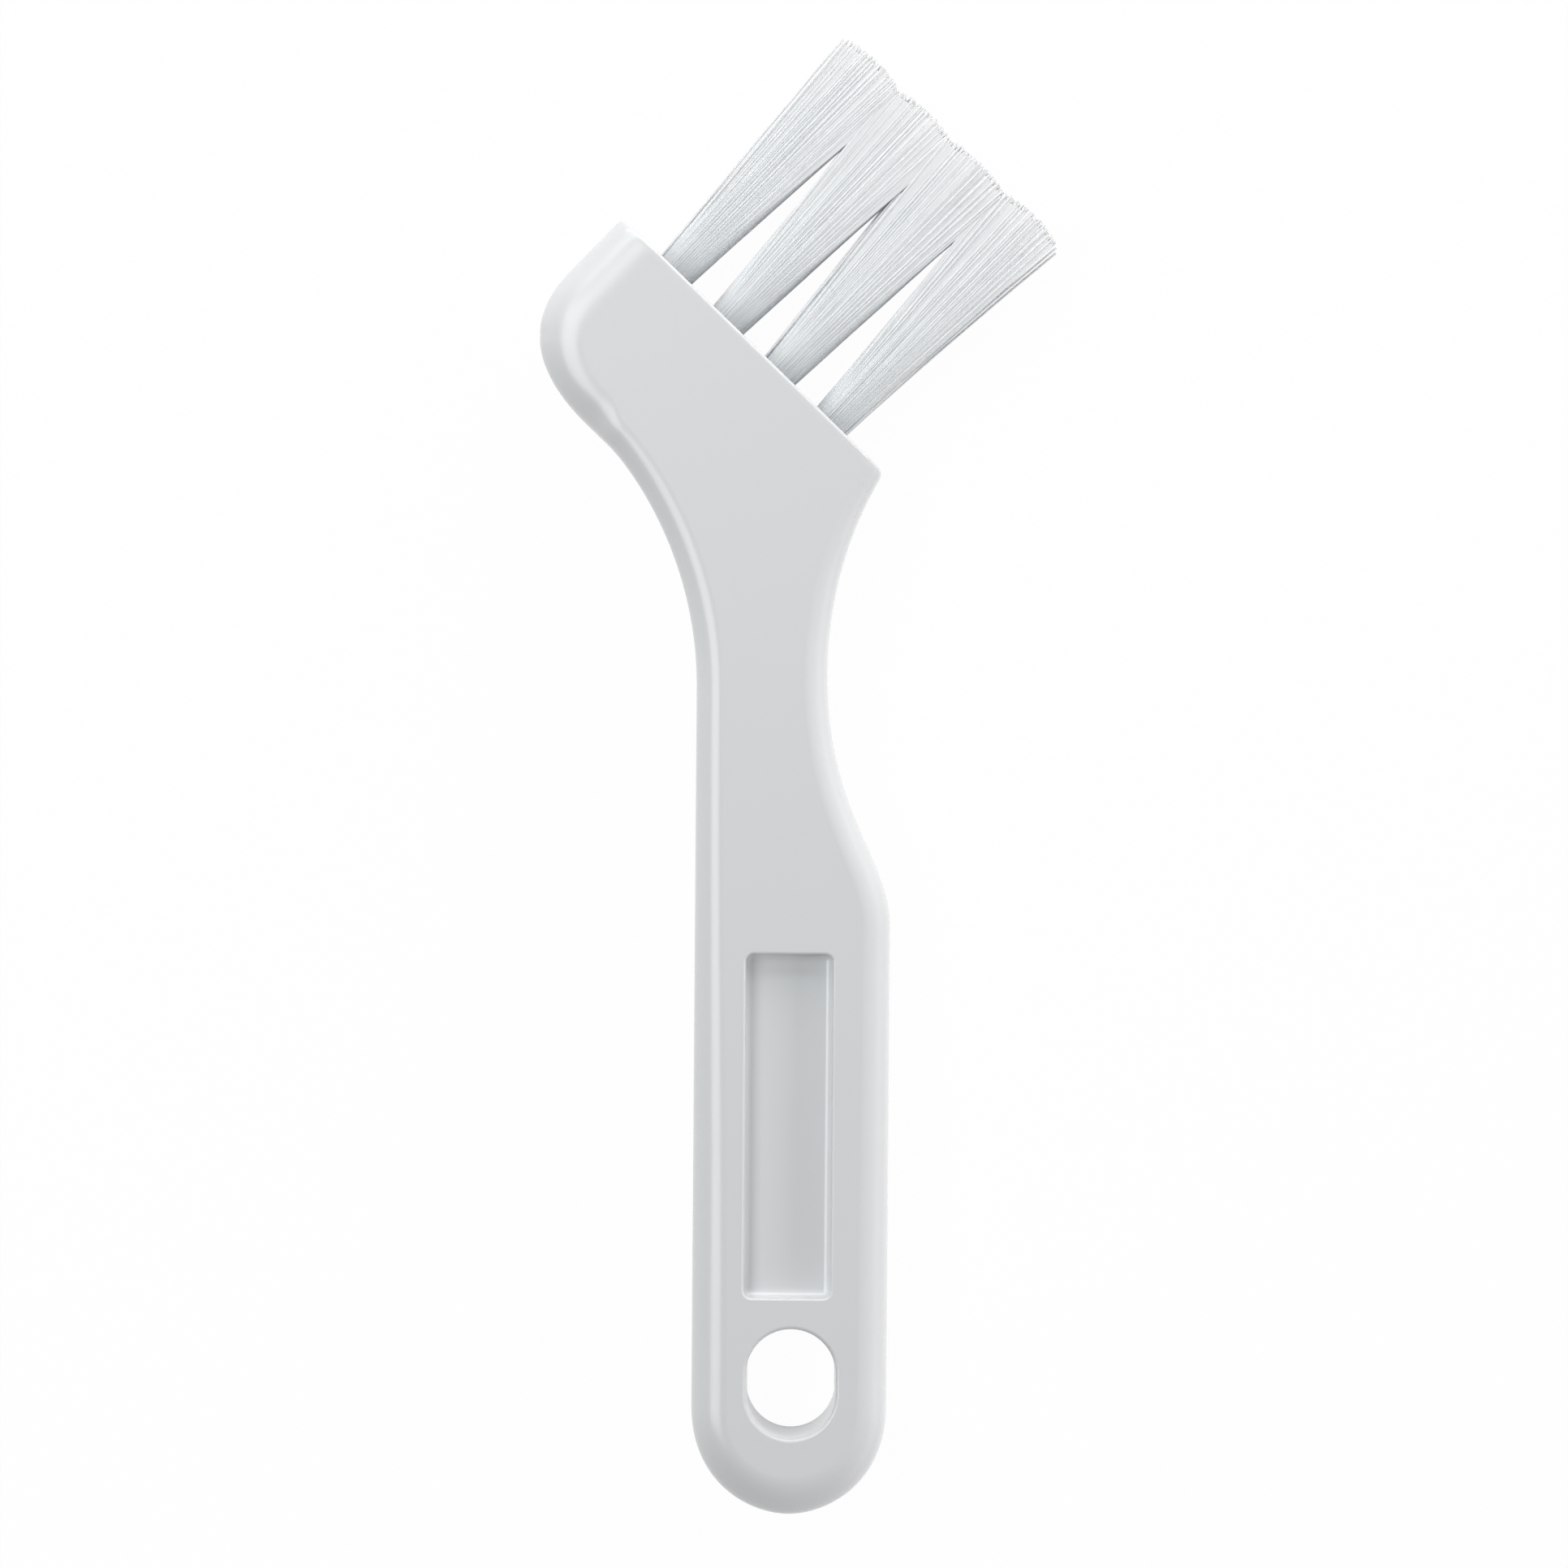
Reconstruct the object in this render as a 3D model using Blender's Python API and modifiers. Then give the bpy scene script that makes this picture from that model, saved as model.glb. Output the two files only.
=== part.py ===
"""Cleaning brush for a shaver: one moulded handle with four bristle tufts held by flat metal anchors.

The brush lies on its back. X runs across the grip, +Y from the tail to the head, +Z out of the front
face. The origin is on the flat back, on the grip's centre line, midway along the whole brush.
"""

import math
import random

import bmesh
import bpy
from mathutils import Matrix, Vector

MM = 0.001

# Grip, from the tail up to the shoulder
GRIP_LENGTH = 32.9 * MM
GRIP_WIDTH = 10.9 * MM
THICKNESS = 4.5 * MM
EDGE_ROUND = 1.7 * MM
TAIL_ROUND_LENGTH = 6.05 * MM

# Neck, narrowest at the waist
NECK_WIDTH = 7.3 * MM
SHOULDER_TO_WAIST = 14.2 * MM
SHOULDER_TO_BACK_BEND = 13.2 * MM

# Head, shaped in its own frame: U along the bristle face, V square out of it
WAIST_TO_FACE = 18.12 * MM
FACE_OFFSET = 2.5 * MM
FACE_LENGTH = 20.4 * MM
FACE_SLANT = math.radians(43.8)
HEAD_DEPTH = 9.55 * MM
HEAD_END_FLAT = 4.2 * MM
HEAD_CORNER_LENGTH = 6.45 * MM
HEAD_BACK_FLAT = 1.85 * MM
INNER_EDGE_LEAN = math.radians(14.5)
INNER_EDGE_FLAT = 0.7 * MM
RIM_ROUND = 0.22 * MM

# How far each curve of the outline holds its end direction, as a share of its span
TAIL_TIP_HOLD = 0.4
TAIL_SIDE_HOLD = 0.72
SHOULDER_HOLD = 0.27
WAIST_LOWER_HOLD = 0.56
WAIST_UPPER_HOLD = 0.19
INNER_EDGE_HOLD = 0.44
HEAD_END_HOLD = 0.64
HEAD_BACK_HOLD = 0.68
NECK_BACK_HOLD = 0.08
NECK_BEND_HOLD = 0.53

# Hanging hole, a slot with round ends
HANG_HOLE_WIDTH = 5.05 * MM
HANG_HOLE_LENGTH = 6.15 * MM
HANG_HOLE_FROM_TAIL = 7.5 * MM
HANG_HOLE_OFFSET = 0.1 * MM

# Sunk panel in the front face
PANEL_WIDTH = 5.1 * MM
PANEL_LENGTH = 19.35 * MM
PANEL_DEPTH = 0.9 * MM
PANEL_DRAFT = 0.12 * MM
PANEL_CORNER = 0.4 * MM
PANEL_ABOVE_HOLE = 1.55 * MM
PANEL_OFFSET = -0.15 * MM

# Tufts and the blind holes that hold them
TUFT_COUNT = 4
TUFT_PITCH = 4.05 * MM
TUFT_HOLE_DIAMETER = 2.4 * MM
TUFT_HOLE_DEPTH = 4.2 * MM
TUFT_CLEARANCE = 0.1 * MM
BUNDLE_SINK = 0.5 * MM
BUNDLE_FOLD_ROUND = 0.3 * MM
TUFT_FREE_LENGTH = 16.15 * MM
TUFT_TIP_REACH = 2.35 * MM
TUFT_NEIGHBOUR_GAP = 0.06 * MM
TUFT_REST_GAP = 0.3 * MM
TIP_DOME = 0.25 * MM
TIP_RAGGEDNESS = 0.2 * MM
STRANDS_PER_TUFT = 80
STRAND_RADIUS = 0.07 * MM
STRAND_ROOTING = 0.4 * MM

# Flat metal anchors, each in the fold of its bundle
ANCHOR_WIDTH = 2.8 * MM
ANCHOR_HEIGHT = 1.5 * MM
ANCHOR_THICKNESS = 0.3 * MM
ANCHOR_FOLD = 0.8 * MM
ANCHOR_CLEARANCE = 0.05 * MM
ANCHOR_CORNER = 0.04 * MM

# How finely the curves are faceted
OUTLINE_STEPS = 10
ROUND_SEGMENTS = 4
RIM_SEGMENTS = 2
HANG_HOLE_SIDES = 32
TUFT_HOLE_SIDES = 20
BUNDLE_SIDES = 16

BROAD_EDGE_ANGLE = math.radians(60)
RIM_ANGLE = math.radians(50)
SHADED_SHARP_ANGLE = math.radians(35)
ROUND_PROFILE = 0.5

CUT_OVERRUN = 1.0 * MM
MERGE_DISTANCE = 0.00001 * MM
MOST_ROUND_SHARE = 0.45
GOLDEN_ANGLE = math.pi * (3 - math.sqrt(5))

edge_round = min(EDGE_ROUND, MOST_ROUND_SHARE * THICKNESS)
blank_overrun = 2 * edge_round + CUT_OVERRUN
bundle_radius = TUFT_HOLE_DIAMETER / 2 - TUFT_CLEARANCE
bundle_bottom = TUFT_CLEARANCE - TUFT_HOLE_DEPTH
anchor_centre = bundle_bottom + ANCHOR_FOLD + ANCHOR_HEIGHT / 2
packed_radius = bundle_radius - 2 * STRAND_RADIUS
outer_tuft = TUFT_PITCH * (TUFT_COUNT - 1) / 2
beside_neighbour = TUFT_PITCH / 2 - TUFT_NEIGHBOUR_GAP / 2 - STRAND_RADIUS
above_rest = THICKNESS / 2 - TUFT_REST_GAP


def brush_length():
    """From the tail to the corner where the outermost tips stand highest."""
    tips_above_face = (outer_tuft + TUFT_TIP_REACH) * math.sin(FACE_SLANT)
    tips_above_face += (TUFT_FREE_LENGTH - TIP_DOME) * math.cos(FACE_SLANT)
    return GRIP_LENGTH + SHOULDER_TO_WAIST + WAIST_TO_FACE + tips_above_face


tail_y = -brush_length() / 2
shoulder_y = tail_y + GRIP_LENGTH
waist_y = shoulder_y + SHOULDER_TO_WAIST
hang_hole_y = tail_y + HANG_HOLE_FROM_TAIL
panel_y = hang_hole_y + HANG_HOLE_LENGTH / 2 + PANEL_ABOVE_HOLE + PANEL_LENGTH / 2
face_centre = Vector((-FACE_OFFSET, waist_y + WAIST_TO_FACE, THICKNESS / 2))
face_frame = Matrix.Translation(face_centre) @ Matrix.Rotation(-FACE_SLANT, 4, "Z")
axis_upright = Matrix.Rotation(-math.pi / 2, 4, "X")


def clear_scene():
    for obj in list(bpy.data.objects):
        bpy.data.objects.remove(obj, do_unlink=True)


def new_collection(name):
    collection = bpy.data.collections.new(name)
    bpy.context.scene.collection.children.link(collection)
    return collection


def plain_material(name, colour, roughness, metallic=0.0):
    material = bpy.data.materials.new(name)
    material.use_nodes = True
    shader = material.node_tree.nodes["Principled BSDF"]
    shader.inputs["Base Color"].default_value = (*colour, 1.0)
    shader.inputs["Roughness"].default_value = roughness
    shader.inputs["Metallic"].default_value = metallic
    return material


def add_object(name, mesh, collection, place):
    obj = bpy.data.objects.new(name, mesh)
    collection.objects.link(obj)
    obj.matrix_world = place
    return obj


def mesh_of(name, bm):
    mesh = bpy.data.meshes.new(name)
    bm.to_mesh(mesh)
    bm.free()
    return mesh


def add_cutter(name, mesh, place):
    cutter = add_object(name, mesh, cutters, place)
    cutter.hide_render = True
    cutter.display_type = "WIRE"
    return cutter


def cut(target, cutter, operation="DIFFERENCE"):
    boolean = target.modifiers.new(cutter.name, "BOOLEAN")
    boolean.object = cutter
    boolean.operation = operation
    boolean.solver = "EXACT"


def round_edges(target, name, width, segments, over_angle):
    """Rounds each edge that is sharper than the angle."""
    bevel = target.modifiers.new(name, "BEVEL")
    bevel.width = width
    bevel.segments = segments
    bevel.limit_method = "ANGLE"
    bevel.angle_limit = over_angle
    bevel.use_clamp_overlap = False


def bevel_edges(bm, edges, width):
    bmesh.ops.bevel(
        bm, geom=edges, offset=width, segments=RIM_SEGMENTS, profile=ROUND_PROFILE, affect="EDGES"
    )


def box(width, length, height):
    bm = bmesh.new()
    bmesh.ops.create_cube(bm, size=1.0)
    bmesh.ops.scale(bm, vec=(width, length, height), verts=bm.verts)
    return bm


def mesh_from_curve(name, curve):
    """The curve's evaluated surface as a welded mesh, with the curve itself removed."""
    guide = bpy.data.objects.new(name, curve)
    bpy.context.scene.collection.objects.link(guide)
    evaluated = guide.evaluated_get(bpy.context.evaluated_depsgraph_get())
    mesh = bpy.data.meshes.new_from_object(evaluated)
    bpy.data.objects.remove(guide, do_unlink=True)
    bpy.data.curves.remove(curve)
    bm = bmesh.new()
    bm.from_mesh(mesh)
    bmesh.ops.remove_doubles(bm, verts=bm.verts, dist=MERGE_DISTANCE)
    bm.to_mesh(mesh)
    bm.free()
    return mesh


def smooth(mesh):
    mesh.shade_smooth()
    mesh.set_sharp_from_angle(angle=SHADED_SHARP_ANGLE)


def head_point(along, out):
    return (face_frame @ Vector((along, out, 0.0))).to_2d()


def head_direction(along, out):
    return (face_frame.to_3x3() @ Vector((along, out, 0.0))).to_2d().normalized()


def outline_knots():
    """The handle's outline anticlockwise, as (place, direction, hold before, hold after).

    A hold of zero starts or ends a straight stretch. Both sides of the head run past the bristle
    face, which is cut square across them afterwards.
    """
    half = GRIP_WIDTH / 2
    up, down, right = Vector((0, 1)), Vector((0, -1)), Vector((1, 0))
    inner_edge = head_direction(-math.sin(INNER_EDGE_LEAN), math.cos(INNER_EDGE_LEAN))
    into_head = head_direction(0, -1)
    along_face = head_direction(1, 0)
    outer_end = -FACE_LENGTH / 2
    inner_corner = head_point(-outer_end, 0)
    inner_flat = inner_corner - inner_edge * INNER_EDGE_FLAT
    outer_corner = head_point(outer_end, 0)
    end_flat = head_point(outer_end, -HEAD_END_FLAT)
    back_start = head_point(outer_end + HEAD_CORNER_LENGTH, -HEAD_DEPTH)
    back_end = head_point(outer_end + HEAD_CORNER_LENGTH + HEAD_BACK_FLAT, -HEAD_DEPTH)
    shoulder = Vector((half, shoulder_y))
    waist = Vector((NECK_WIDTH - half, waist_y))
    back_bend = Vector((-half, shoulder_y + SHOULDER_TO_BACK_BEND))
    tail_side_y = tail_y + TAIL_ROUND_LENGTH
    neck_span = (inner_flat - waist).length
    back_span = (back_end - back_bend).length
    corner_span = HEAD_DEPTH - HEAD_END_FLAT
    tip_hold = TAIL_TIP_HOLD * half
    side_hold = TAIL_SIDE_HOLD * TAIL_ROUND_LENGTH
    return [
        (Vector((0, tail_y)), right, tip_hold, tip_hold),
        (Vector((half, tail_side_y)), up, side_hold, 0),
        (shoulder, up, 0, SHOULDER_HOLD * SHOULDER_TO_WAIST),
        (waist, up, WAIST_LOWER_HOLD * SHOULDER_TO_WAIST, WAIST_UPPER_HOLD * neck_span),
        (inner_flat, inner_edge, INNER_EDGE_HOLD * neck_span, 0),
        (inner_corner + inner_edge * blank_overrun, inner_edge, 0, 0),
        (outer_corner - into_head * blank_overrun, into_head, 0, 0),
        (end_flat, into_head, 0, HEAD_END_HOLD * corner_span),
        (back_start, along_face, HEAD_BACK_HOLD * HEAD_CORNER_LENGTH, 0),
        (back_end, along_face, 0, NECK_BACK_HOLD * back_span),
        (back_bend, down, NECK_BEND_HOLD * back_span, 0),
        (Vector((-half, tail_side_y)), down, 0, side_hold),
    ]


def handle_blank():
    """The outline filled and extruded to the full thickness, each broad face as one polygon."""
    curve = bpy.data.curves.new("handle_outline", "CURVE")
    curve.dimensions = "2D"
    curve.fill_mode = "BOTH"
    curve.extrude = THICKNESS / 2
    curve.resolution_u = OUTLINE_STEPS
    knots = outline_knots()
    spline = curve.splines.new("BEZIER")
    spline.bezier_points.add(len(knots) - 1)
    spline.use_cyclic_u = True
    for point, (place, direction, before, after) in zip(spline.bezier_points, knots):
        point.handle_left_type = "FREE" if before else "VECTOR"
        point.handle_right_type = "FREE" if after else "VECTOR"
        point.co = place.to_3d()
        point.handle_left = (place - direction * before).to_3d()
        point.handle_right = (place + direction * after).to_3d()
    mesh = mesh_from_curve("handle_outline", curve)
    bm = bmesh.new()
    bm.from_mesh(mesh)
    for side in (-1, 1):
        broad_face = [face for face in bm.faces if face.normal.z * side > 0.5]
        bmesh.ops.dissolve_faces(bm, faces=broad_face)
    bmesh.ops.translate(bm, verts=bm.verts, vec=(0, 0, THICKNESS / 2))
    bm.to_mesh(mesh)
    bm.free()
    return mesh


def face_cutter():
    length = FACE_LENGTH + 4 * blank_overrun
    depth = 2 * blank_overrun
    place = face_frame @ Matrix.Translation((0, depth / 2, 0))
    bm = box(length, depth, THICKNESS + 2 * CUT_OVERRUN)
    return add_cutter("face_cutter", mesh_of("face_cutter", bm), place)


def cylinder(radius, bottom, top, sides):
    """A prism along Z between two heights, with no corner on the X axis."""
    bm = bmesh.new()
    bmesh.ops.create_cone(
        bm, cap_ends=True, segments=sides, radius1=radius, radius2=radius, depth=top - bottom
    )
    half_step = Matrix.Rotation(math.pi / sides, 4, "Z")
    bmesh.ops.transform(bm, matrix=half_step, verts=bm.verts)
    bmesh.ops.translate(bm, verts=bm.verts, vec=(0, 0, (top + bottom) / 2))
    return bm


def hang_hole_cutter():
    """A slot with round ends: a cylinder whose two halves are moved apart along Y."""
    bm = cylinder(HANG_HOLE_WIDTH / 2, -CUT_OVERRUN, THICKNESS + CUT_OVERRUN, HANG_HOLE_SIDES)
    straight = HANG_HOLE_LENGTH - HANG_HOLE_WIDTH
    for vert in bm.verts:
        vert.co.y += math.copysign(straight / 2, vert.co.y)
    place = Matrix.Translation((HANG_HOLE_OFFSET, hang_hole_y, 0))
    return add_cutter("hang_hole_cutter", mesh_of("hang_hole_cutter", bm), place)


def panel_cutter():
    """The sunk panel's space: drafted walls, rounded upright corners and a rounded floor edge."""
    height = PANEL_DEPTH + CUT_OVERRUN
    bm = box(PANEL_WIDTH, PANEL_LENGTH, height)
    for vert in bm.verts:
        below_mouth = PANEL_DEPTH if vert.co.z < 0 else -CUT_OVERRUN
        draft = PANEL_DRAFT * below_mouth / PANEL_DEPTH
        vert.co.x -= math.copysign(draft, vert.co.x)
        vert.co.y -= math.copysign(draft, vert.co.y)
    upright = [edge for edge in bm.edges if edge.verts[0].co.z * edge.verts[1].co.z < 0]
    floor = [edge for edge in bm.edges if max(vert.co.z for vert in edge.verts) < 0]
    bevel_edges(bm, upright + floor, PANEL_CORNER)
    place = Matrix.Translation((PANEL_OFFSET, panel_y, THICKNESS - PANEL_DEPTH + height / 2))
    return add_cutter("panel_cutter", mesh_of("panel_cutter", bm), place)


def tuft_frame(index):
    """U along the bristle face, V up the tuft's axis, from where that axis leaves the face."""
    along = index * TUFT_PITCH - outer_tuft
    return face_frame @ Matrix.Translation((along, 0, 0))


def tuft_hole_cutter(index):
    bm = cylinder(TUFT_HOLE_DIAMETER / 2, -TUFT_HOLE_DEPTH, CUT_OVERRUN, TUFT_HOLE_SIDES)
    name = f"tuft_hole_cutter_{index + 1}"
    return add_cutter(name, mesh_of(name, bm), tuft_frame(index) @ axis_upright)


def anchor_frame(index):
    return tuft_frame(index) @ Matrix.Translation((0, anchor_centre, 0))


def anchor_space_cutter(index):
    """The anchor with its clearance all round: cut from the handle's hole and from the tuft."""
    bm = box(
        ANCHOR_WIDTH + 2 * ANCHOR_CLEARANCE,
        ANCHOR_HEIGHT + 2 * ANCHOR_CLEARANCE,
        ANCHOR_THICKNESS + 2 * ANCHOR_CLEARANCE,
    )
    name = f"anchor_space_cutter_{index + 1}"
    return add_cutter(name, mesh_of(name, bm), anchor_frame(index))


def make_handle():
    handle = add_object("handle", handle_blank(), parts, Matrix.Identity(4))
    round_edges(handle, "edge_round", edge_round, ROUND_SEGMENTS, BROAD_EDGE_ANGLE)
    cut(handle, face_cutter())
    cut(handle, hang_hole_cutter())
    cut(handle, panel_cutter())
    round_edges(handle, "rim_round", RIM_ROUND, RIM_SEGMENTS, RIM_ANGLE)
    for index in range(TUFT_COUNT):
        cut(handle, tuft_hole_cutter(index))
        cut(handle, anchor_spaces[index])
    handle.data.materials.append(handle_plastic)
    smooth(handle.data)


def spread(height, most):
    """How far the outermost strand stands from its tuft's axis, where nothing lets it pass `most`."""
    rise = (height + BUNDLE_SINK) / (TUFT_FREE_LENGTH + BUNDLE_SINK)
    free_reach = packed_radius + (TUFT_TIP_REACH - packed_radius) * rise
    return min(free_reach, most)


def meeting_height(most):
    """Where the free fan of a tuft meets its limit, or half way up when it never does."""
    rise = (most - packed_radius) / (TUFT_TIP_REACH - packed_radius)
    height = rise * (TUFT_FREE_LENGTH + BUNDLE_SINK) - BUNDLE_SINK
    shortest = TUFT_FREE_LENGTH - TIP_DOME - TIP_RAGGEDNESS
    return height if height < shortest else shortest / 2


def strand_path(order, rng, low_limit, high_limit):
    """Root, bend and tip of one strand. Strands spread in step, so that none crosses another."""
    packed = math.sqrt((order + 0.5) / STRANDS_PER_TUFT)
    turn = order * GOLDEN_ANGLE
    across = packed * math.cos(turn)
    deep = packed * math.sin(turn)
    side_limit = high_limit if across > 0 else low_limit
    tip = TUFT_FREE_LENGTH - TIP_DOME * packed**2 - rng.uniform(0, TIP_RAGGEDNESS)
    bend = meeting_height(beside_neighbour)
    path = [Vector((across * packed_radius, -BUNDLE_SINK - STRAND_ROOTING, deep * packed_radius))]
    for height in (bend, tip):
        side = across * spread(height, side_limit)
        path.append(Vector((side, height, deep * spread(height, above_rest))))
    return path


def strands_mesh(name, index):
    rng = random.Random(index)
    low_limit = TUFT_TIP_REACH if index == 0 else beside_neighbour
    high_limit = TUFT_TIP_REACH if index == TUFT_COUNT - 1 else beside_neighbour
    curve = bpy.data.curves.new(name, "CURVE")
    curve.dimensions = "3D"
    curve.bevel_depth = STRAND_RADIUS
    curve.bevel_resolution = 0
    curve.use_fill_caps = True
    for order in range(STRANDS_PER_TUFT):
        path = strand_path(order, rng, low_limit, high_limit)
        spline = curve.splines.new("POLY")
        spline.points.add(len(path) - 1)
        for point, place in zip(spline.points, path):
            point.co = (*place, 1.0)
    return mesh_from_curve(name, curve)


def make_tuft(index):
    """The folded bundle in the hole, with its strands fused to the bundle's top."""
    name = f"bristle_tuft_{index + 1}"
    bm = cylinder(bundle_radius, bundle_bottom, -BUNDLE_SINK, BUNDLE_SIDES)
    fold = [edge for edge in bm.edges if max(vert.co.z for vert in edge.verts) < anchor_centre]
    bevel_edges(bm, fold, BUNDLE_FOLD_ROUND)
    bmesh.ops.transform(bm, matrix=axis_upright, verts=bm.verts)
    tuft = add_object(name, mesh_of(name, bm), parts, tuft_frame(index))
    strands_name = f"strands_{index + 1}"
    strands = add_cutter(strands_name, strands_mesh(strands_name, index), tuft_frame(index))
    cut(tuft, anchor_spaces[index])
    cut(tuft, strands, "UNION")
    tuft.data.materials.append(clear_nylon)


def make_anchor(index):
    bm = box(ANCHOR_WIDTH, ANCHOR_HEIGHT, ANCHOR_THICKNESS)
    name = f"tuft_anchor_{index + 1}"
    anchor = add_object(name, mesh_of(name, bm), parts, anchor_frame(index))
    round_edges(anchor, "sheared_corner", ANCHOR_CORNER, 1, BROAD_EDGE_ANGLE)
    anchor.data.materials.append(anchor_metal)


clear_scene()
parts = new_collection("shaver_cleaning_brush")
cutters = new_collection("cutters")
handle_plastic = plain_material("handle_plastic", (0.66, 0.68, 0.69), 0.5)
clear_nylon = plain_material("clear_nylon", (0.82, 0.83, 0.84), 0.35)
anchor_metal = plain_material("anchor_metal", (0.80, 0.66, 0.38), 0.3, 1.0)
anchor_spaces = [anchor_space_cutter(index) for index in range(TUFT_COUNT)]
make_handle()
for tuft_index in range(TUFT_COUNT):
    make_tuft(tuft_index)
    make_anchor(tuft_index)
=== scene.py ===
"""Shaver cleaning brush: a satin moulded handle, four tufts of clear nylon and their brass anchors."""

import math
import random

import bmesh
import bpy
from mathutils import Matrix, Vector
from mathutils.kdtree import KDTree


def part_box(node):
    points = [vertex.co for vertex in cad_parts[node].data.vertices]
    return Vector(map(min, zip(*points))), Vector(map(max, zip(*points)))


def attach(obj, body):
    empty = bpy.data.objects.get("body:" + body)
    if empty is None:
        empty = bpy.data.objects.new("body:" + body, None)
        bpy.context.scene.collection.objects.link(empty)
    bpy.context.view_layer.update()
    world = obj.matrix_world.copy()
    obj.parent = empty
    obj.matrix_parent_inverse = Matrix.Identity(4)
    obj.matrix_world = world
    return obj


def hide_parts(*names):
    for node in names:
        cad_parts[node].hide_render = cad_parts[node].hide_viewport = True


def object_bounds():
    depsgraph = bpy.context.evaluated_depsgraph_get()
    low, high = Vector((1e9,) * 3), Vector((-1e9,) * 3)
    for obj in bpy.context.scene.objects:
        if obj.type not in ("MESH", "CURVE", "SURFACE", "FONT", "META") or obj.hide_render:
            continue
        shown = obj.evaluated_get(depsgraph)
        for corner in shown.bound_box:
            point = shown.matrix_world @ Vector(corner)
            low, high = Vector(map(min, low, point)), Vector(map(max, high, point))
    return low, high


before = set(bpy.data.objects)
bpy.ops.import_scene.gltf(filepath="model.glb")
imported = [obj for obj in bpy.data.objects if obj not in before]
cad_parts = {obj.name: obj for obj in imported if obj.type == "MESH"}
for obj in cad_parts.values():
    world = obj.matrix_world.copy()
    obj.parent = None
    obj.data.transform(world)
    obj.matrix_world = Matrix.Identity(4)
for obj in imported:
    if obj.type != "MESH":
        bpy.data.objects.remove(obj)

cad_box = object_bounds()
handle_low, handle_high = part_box("handle")

MM = 0.001

# Handle outline
GRIP_LENGTH = 32.9 * MM
GRIP_WIDTH = 10.9 * MM
TAIL_ROUND_LENGTH = 6.05 * MM
NECK_WIDTH = 7.3 * MM
SHOULDER_TO_WAIST = 14.2 * MM
SHOULDER_TO_BACK_BEND = 13.2 * MM
WAIST_TO_FACE = 18.12 * MM
FACE_OFFSET = 2.5 * MM
FACE_LENGTH = 20.4 * MM
FACE_SLANT = math.radians(43.8)
HEAD_DEPTH = 9.55 * MM
HEAD_END_FLAT = 4.2 * MM
HEAD_CORNER_LENGTH = 6.45 * MM
HEAD_BACK_FLAT = 1.85 * MM
INNER_EDGE_LEAN = math.radians(14.5)
INNER_EDGE_FLAT = 0.7 * MM
PAST_THE_FACE = 5.0 * MM
OUTLINE_STEPS = 32
LONGEST_EDGE = 0.6 * MM

# How far the outline's curves hold their direction from a knot, as a share of the stretch they cross
TAIL_TIP_HOLD = 0.4
TAIL_SIDE_HOLD = 0.72
SHOULDER_HOLD = 0.27
WAIST_LOWER_HOLD = 0.56
WAIST_UPPER_HOLD = 0.19
INNER_EDGE_HOLD = 0.44
HEAD_END_HOLD = 0.64
HEAD_BACK_HOLD = 0.68
NECK_BACK_HOLD = 0.08
NECK_BEND_HOLD = 0.53

# Width of the front edge's round, seen from the front, at each knot of the outline
TAIL_TIP_ROUND = 2.4 * MM
TAIL_RIGHT_ROUND = 1.75 * MM
SHOULDER_ROUND = 1.6 * MM
WAIST_ROUND = 1.35 * MM
INNER_EDGE_ROUND = 1.15 * MM
HEAD_END_ROUND = 3.0 * MM
HEAD_CORNER_ROUND = 2.1 * MM
HEAD_BACK_ROUND = 1.5 * MM
NECK_BEND_ROUND = 1.55 * MM
TAIL_LEFT_ROUND = 2.05 * MM
DEEPEST_ROUND = 1.9 * MM
BACK_ROUND = 1.7 * MM
ROUND_STEPS = 12
PARTING_LINE_WIDTH = 0.1 * MM
PARTING_LINE_DEPTH = 0.02 * MM

# Bristle face, hanging hole and sunk panel
FACE_RIM_ROUND = 0.2 * MM
OUTER_CORNER_ROUND = 0.33 * MM
INNER_CORNER_ROUND = 0.45 * MM
FACE_ROUND_DEPTH = 0.5 * MM
HANG_HOLE_WIDTH = 5.05 * MM
HANG_HOLE_LENGTH = 6.15 * MM
HANG_HOLE_FROM_TAIL = 7.5 * MM
HANG_HOLE_OFFSET = 0.1 * MM
HANG_HOLE_SIDES = 2 * 49
HANG_HOLE_WAIST = 0.965
HANG_HOLE_RIM = 0.22 * MM
PANEL_WIDTH = 5.1 * MM
PANEL_LENGTH = 19.35 * MM
PANEL_DEPTH = 0.9 * MM
PANEL_DRAFT = 0.12 * MM
PANEL_CORNER = 0.45 * MM
PANEL_RIM = 0.14 * MM
PANEL_ABOVE_HOLE = 1.55 * MM
PANEL_OFFSET = -0.15 * MM
TUFT_HOLE_RADIUS = 1.2 * MM
TUFT_HOLE_DEPTH = 4.2 * MM
TUFT_HOLE_SIDES = 48
ANCHOR_CLEARANCE = 0.04 * MM
CUT_OVERRUN = 1.0 * MM
RIM_STEPS = 4
CORNER_STEPS = 6
RIM_SEARCH = 0.14 * MM
BROAD_FACE_LEVEL = 0.99
STEEP_WALL_LEVEL = 0.5
HANDLE_SHARP_ANGLE = math.radians(35)
ON_A_PLANE = 0.001 * MM
CUT_TOLERANCE = ON_A_PLANE / 10

# How far each tuft's tips reach, to the side of the head's end and to the side of its inner edge
TUFT_REACHES = [
    (2.05 * MM, 2.48 * MM),
    (2.43 * MM, 2.38 * MM),
    (2.33 * MM, 2.38 * MM),
    (2.43 * MM, 2.15 * MM),
]
TUFT_COUNT = len(TUFT_REACHES)

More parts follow.
